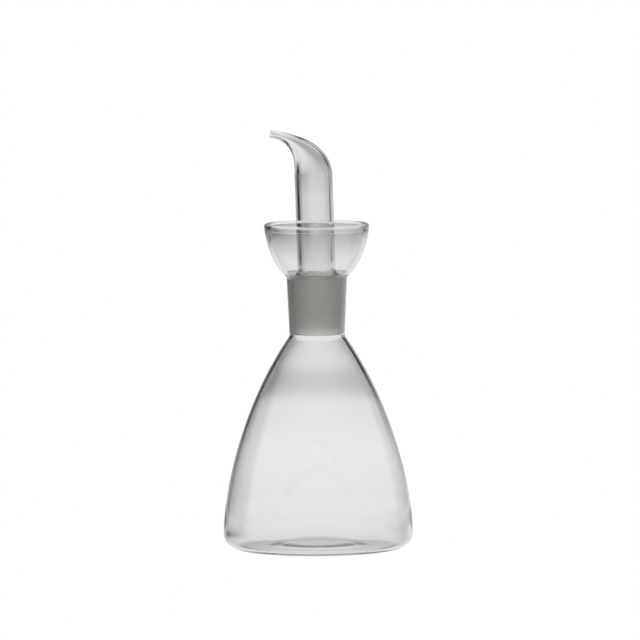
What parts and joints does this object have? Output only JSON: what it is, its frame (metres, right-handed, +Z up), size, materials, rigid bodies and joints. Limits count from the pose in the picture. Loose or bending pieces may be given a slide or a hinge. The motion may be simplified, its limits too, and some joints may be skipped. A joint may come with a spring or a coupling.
{
  "type": "oil cruet",
  "caption": "Clear glass oil cruet: a conical bottle with a frosted ground neck and a drip bowl round its mouth, and a bent pouring spout that tapers to a fine tip.",
  "frame": {"origin": "middle of the base, where the bottle's axis meets the surface that it stands on", "axes": "+Z up along the bottle's axis, -X the side that the pourer's tip points to"},
  "size_m": [0.0986, 0.0986, 0.2189],
  "materials": {
    "bottle_glass": "clear and fire-polished, ground to a grey frost inside the neck",
    "pourer_glass": "clear and fire-polished, ground to a grey frost round the plug"
  },
  "bodies": {
    "root": {"bottle": "bottle_glass", "pourer": "pourer_glass"}
  },
  "joints": []
}
